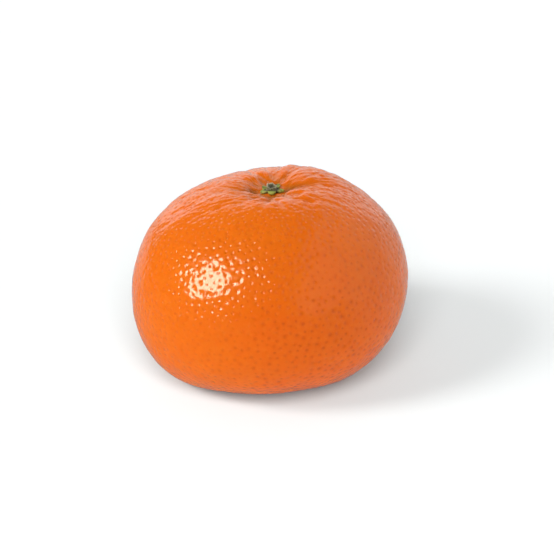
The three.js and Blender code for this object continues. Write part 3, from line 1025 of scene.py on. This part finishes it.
def stub_mesh(settings):
    """The stub as rings from its foot to the middle of its end, with where its rim and its pith are."""
    low, high = (np.array(corner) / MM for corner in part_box("stalk_stub"))
    low[2] -= STUB_SEAT
    high[2] -= STUB_SHORTER
    height = high[2] - low[2]
    radius, tilt = settings.radius / MM, settings.tilt / MM
    outline = np.array(stub_outline(settings.dish / MM / height))
    places = np.linspace(0, len(outline) - 1, STUB_STEPS)
    widths, heights = (np.interp(places, range(len(outline)), column) for column in outline.T)
    points, rim, pith = [(CENTRE[0], CENTRE[1], low[2] - FOOT_DEPTH)], [0.0], [0.0]
    for step, (wide, tall) in enumerate(zip(widths, heights)):
        end_share = step / (STUB_STEPS - 1)
        top_share = max(tall, 0) ** 2
        for side in range(STUB_SIDES):
            angle = math.tau * side / STUB_SIDES
            towards_low_side = math.cos(angle - STUB_LOW_SIDE)
            reach = radius * wide * (1 + waves_round(angle, BARK_RIDGES))
            slope = -tilt * 0.5 * (1 + towards_low_side) * top_share
            torn = waves_round(angle, TORN_EDGE) * top_share * (TORN_INSIDE + wide)
            z = low[2] + height * tall + slope + torn
            points.append((CENTRE[0] + reach * math.cos(angle), CENTRE[1] + reach * math.sin(angle), z))
            # The rim is paler on the side towards the light: a painted highlight.
            paleness = RIM_PALENESS_AND_HIGHLIGHT[0] - RIM_PALENESS_AND_HIGHLIGHT[1] * towards_low_side
            rim.append(float(hill(end_share - RIM_AT[0], RIM_AT[1])) * paleness)
            pith.append(float(np.clip((end_share - PITH_AT[0]) / PITH_AT[1], 0, 1)))
    points.append((CENTRE[0], CENTRE[1], points[-1][2] - MIDDLE_DEPTH))
    rim.append(0.0)
    pith.append(1.0)
    neighbours = [(side, (side + 1) % STUB_SIDES) for side in range(STUB_SIDES)]
    faces = [(0, 1 + after, 1 + side) for side, after in neighbours]
    for step in range(STUB_STEPS - 1):
        ring = 1 + step * STUB_SIDES
        above = ring + STUB_SIDES
        faces += [(ring + side, ring + after, above + after, above + side) for side, after in neighbours]
    last = len(points) - 1
    ring = last - STUB_SIDES
    faces += [(last, ring + side, ring + after) for side, after in neighbours]
    return points, faces, rim, pith


class MANDARIN_OT_stalk_stub(bpy.types.Operator):
    """Builds the stub of the stalk, broken off above the calyx"""

    bl_idname = "mandarin.stalk_stub"
    bl_label = "Stalk stub"

    def execute(self, context):
        settings = context.scene.mandarin_stub
        points, faces, rim, pith = stub_mesh(settings)
        piece = mesh_object("mandarin_stalk_stub", points, faces)
        store_values(piece, "rim", rim)
        store_values(piece, "pith", pith)
        piece.data.materials.append(stub_material(settings))
        finish_piece(piece, "stalk_stub")
        return {"FINISHED"}


# The studio.


class StudioSettings(bpy.types.PropertyGroup):
    """Camera and light."""

    distance: length_property("Distance", "Camera to the middle of the fruit", 472)
    elevation: angle_property("Elevation", "Angle the camera looks down at", 25)
    key_power: number_property("Key light", "The soft light at the left, in watts a square metre", 1.0)
    key_in_gloss: number_property("Key light in gloss", "Power of its reflection, in watts", 31.0)
    table_key: number_property("Key light on table", "The same light as the table gets it", 4.7)
    table_light: number_property("Table light", "The even light on the table, in watts a square metre", 11.0)
    fill_left: number_property("Fill, left", "Brightness of the even light from the left", 0.8)
    fill_right: number_property("Fill, right", "Brightness of the even light from the right", 0.48)
    backdrop: number_property("Backdrop", "Brightness of the white backdrop in the gloss", 1.22)
    panel: number_property("Grey panel", "Brightness of the panel at the right in the gloss", 0.8)
    room: number_property("Unlit room", "Brightness of the rest of the room in the gloss", 0.06)
    table_glow: number_property("Table glow", "Light that reaches the table from everywhere", 0.08)


def studio_world(settings):
    """Even light from all round, and what the gloss mirrors: a white backdrop and a grey panel."""
    world = bpy.data.worlds.new("studio")
    bpy.context.scene.world = world
    world.use_nodes = True
    world.node_tree.nodes.clear()
    add = partial(add_node, world.node_tree)
    towards = add("ShaderNodeTexCoord").outputs["Generated"]
    side = add("ShaderNodeSeparateXYZ", (towards,)).outputs["X"]
    rearward = add(VECTOR_MATH, (towards, BACKDROP_TOWARDS), operation="DOT_PRODUCT")
    shares = []
    for value, (start, end), (least, most) in (
        (rearward, BACKDROP_EDGE, (0.0, settings.backdrop)),
        (side, PANEL_EDGE, (settings.room, settings.panel)),
        (side, FILL_EDGE, (settings.fill_left, settings.fill_right)),
    ):
        limits = {"Value": value, "From Min": start, "From Max": end, "To Min": least, "To Max": most}
        shares.append(add(RANGE, limits, interpolation_type="SMOOTHSTEP"))
    backdrop, panel, fill = shares
    mirrored = add(MATH, (backdrop, panel), operation="MAXIMUM")
    path = add("ShaderNodeLightPath").outputs
    light = add("ShaderNodeBackground", {"Color": WHITE, "Strength": fill})
    for ray, strength in ((path["Is Glossy Ray"], mirrored), (path["Is Camera Ray"], 1.0)):
        other = add("ShaderNodeBackground", {"Color": WHITE, "Strength": strength})
        light = add("ShaderNodeMixShader", (ray, light, other))
    add("ShaderNodeOutputWorld", {"Surface": light})


def table_material(settings):
    """White laminate with a matt finish. The peel mirrors it darker, most of all in front and at the left."""
    material, add, shader = new_material("matt_white_laminate")
    values = {
        "Base Color": srgb(TABLE_HEX),
        "Roughness": 0.9,
        "Specular IOR Level": 0.0,
        "Emission Color": WHITE,
        "Emission Strength": settings.table_glow,
    }
    set_inputs(shader, values)
    place = add("ShaderNodeTexCoord").outputs["Object"]
    towards_lit = add(VECTOR_MATH, (place, TABLE_LIT_TOWARDS), operation="DOT_PRODUCT")
    (start, end), (before, past) = TABLE_EDGE, TABLE_DARK
    limits = {"Value": towards_lit, "From Min": start, "From Max": end, "To Min": before, "To Max": past}
    dark = add(RANGE, limits, interpolation_type="SMOOTHSTEP")
    glossy = add("ShaderNodeLightPath").outputs["Is Glossy Ray"]
    dark = add(MATH, (dark, glossy), operation="MULTIPLY")
    unlit = add("ShaderNodeEmission", {"Color": WHITE, "Strength": settings.room})
    mixed = add("ShaderNodeMixShader", (dark, shader, unlit))
    set_inputs(material.node_tree.nodes["Material Output"], {"Surface": mixed})
    return material


def add_lamp(lamp, middle, towards):
    """Stands a lamp so that it shines on the fruit from a direction."""
    holder = bpy.data.objects.new(lamp.name, lamp)
    holder.location = middle + LAMP_DISTANCE * Vector(towards).normalized()
    holder.rotation_euler = Vector(towards).to_track_quat("Z", "Y").to_euler()
    bpy.context.scene.collection.objects.link(holder)
    return holder


def add_lamps(settings, middle, table):
    """The soft light, what the gloss mirrors of it, and two lights that only the table gets."""
    only_table = bpy.data.collections.new("only_table")
    only_table.objects.link(table)
    for name, towards, width, power in (
        ("key", KEY_TOWARDS, KEY_WIDTH, settings.key_power),
        ("table_key", TABLE_KEY_TOWARDS, TABLE_KEY_WIDTH, settings.table_key),
        ("table_light", TABLE_LIGHT_TOWARDS, TABLE_LIGHT_WIDTH, settings.table_light),
    ):
        lamp = bpy.data.lights.new(name, "SUN")
        lamp.angle = width
        lamp.energy = power
        holder = add_lamp(lamp, middle, towards)
        holder.visible_glossy = False
        if name != "key":
            holder.light_linking.receiver_collection = only_table
    lamp = bpy.data.lights.new("key_in_gloss", "AREA")
    lamp.shape = "DISK"
    lamp.size = GLOSS_LAMP_WIDTH
    lamp.energy = settings.key_in_gloss
    lamp.color = srgb(GLOSS_LAMP_HEX)[:3]
    add_lamp(lamp, middle, GLOSS_TOWARDS).visible_diffuse = False


def add_camera(settings, middle):
    """The camera in front of the fruit, looking down at it."""
    lens = bpy.data.cameras.new("camera")
    lens.lens = LENS
    lens.sensor_width = SENSOR_WIDTH
    camera = bpy.data.objects.new("camera", lens)
    back = Vector((0, -math.cos(settings.elevation), math.sin(settings.elevation)))
    upward = Vector((0, math.sin(settings.elevation), math.cos(settings.elevation)))
    aim = middle + Vector((1, 0, 0)) * AIM_RIGHT * MM - upward * AIM_DOWN * MM
    camera.location = aim + back * settings.distance
    camera.rotation_euler = back.to_track_quat("Z", "Y").to_euler()
    bpy.context.scene.collection.objects.link(camera)
    bpy.context.scene.camera = camera


class MANDARIN_OT_studio(bpy.types.Operator):
    """Builds the white table, the lamps, the room and the camera"""

    bl_idname = "mandarin.studio"
    bl_label = "Studio"

    def execute(self, context):
        settings = context.scene.mandarin_studio
        half = TABLE_HALF_WIDTH
        corners = [(-half, -half, 0), (half, -half, 0), (half, half, 0), (-half, half, 0)]
        table = mesh_object("studio_floor", corners, [(0, 1, 2, 3)])
        table.data.materials.append(table_material(settings))
        table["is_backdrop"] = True

        low, high = (Vector(corner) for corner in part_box("peel"))
        middle = (low + high) / 2
        studio_world(settings)
        add_lamps(settings, middle, table)
        add_camera(settings, middle)
        context.scene.view_settings.view_transform = "Standard"
        return {"FINISHED"}


class MANDARIN_PT_panel(bpy.types.Panel):
    """Lists the pieces and their settings"""

    bl_label = "Mandarin"
    bl_space_type = "VIEW_3D"
    bl_region_type = "UI"
    bl_category = "Mandarin"

    def draw(self, context):
        for operator, name, _ in STEPS:
            box = self.layout.box()
            box.operator(operator.bl_idname)
            settings = getattr(context.scene, name)
            for label in settings.__annotations__:
                box.prop(settings, label)


STEPS = [
    (MANDARIN_OT_peel, "mandarin_peel", PeelSettings),
    (MANDARIN_OT_calyx, "mandarin_calyx", CalyxSettings),
    (MANDARIN_OT_stalk_stub, "mandarin_stub", StubSettings),
    (MANDARIN_OT_studio, "mandarin_studio", StudioSettings),
]


def register():
    for operator, name, group in STEPS:
        bpy.utils.register_class(group)
        setattr(bpy.types.Scene, name, PointerProperty(type=group))
        bpy.utils.register_class(operator)
    bpy.utils.register_class(MANDARIN_PT_panel)


def unregister():
    bpy.utils.unregister_class(MANDARIN_PT_panel)
    for operator, name, group in reversed(STEPS):
        bpy.utils.unregister_class(operator)
        delattr(bpy.types.Scene, name)
        bpy.utils.unregister_class(group)


def main():
    register()
    bpy.ops.mandarin.peel()
    bpy.ops.mandarin.calyx()
    bpy.ops.mandarin.stalk_stub()
    bpy.ops.mandarin.studio()
    boxes = {"cad": CAD_BOX, "visual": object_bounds()}
    boxes = {name: [[float(value) for value in corner] for corner in box] for name, box in boxes.items()}


if __name__ == "__main__":
    main()
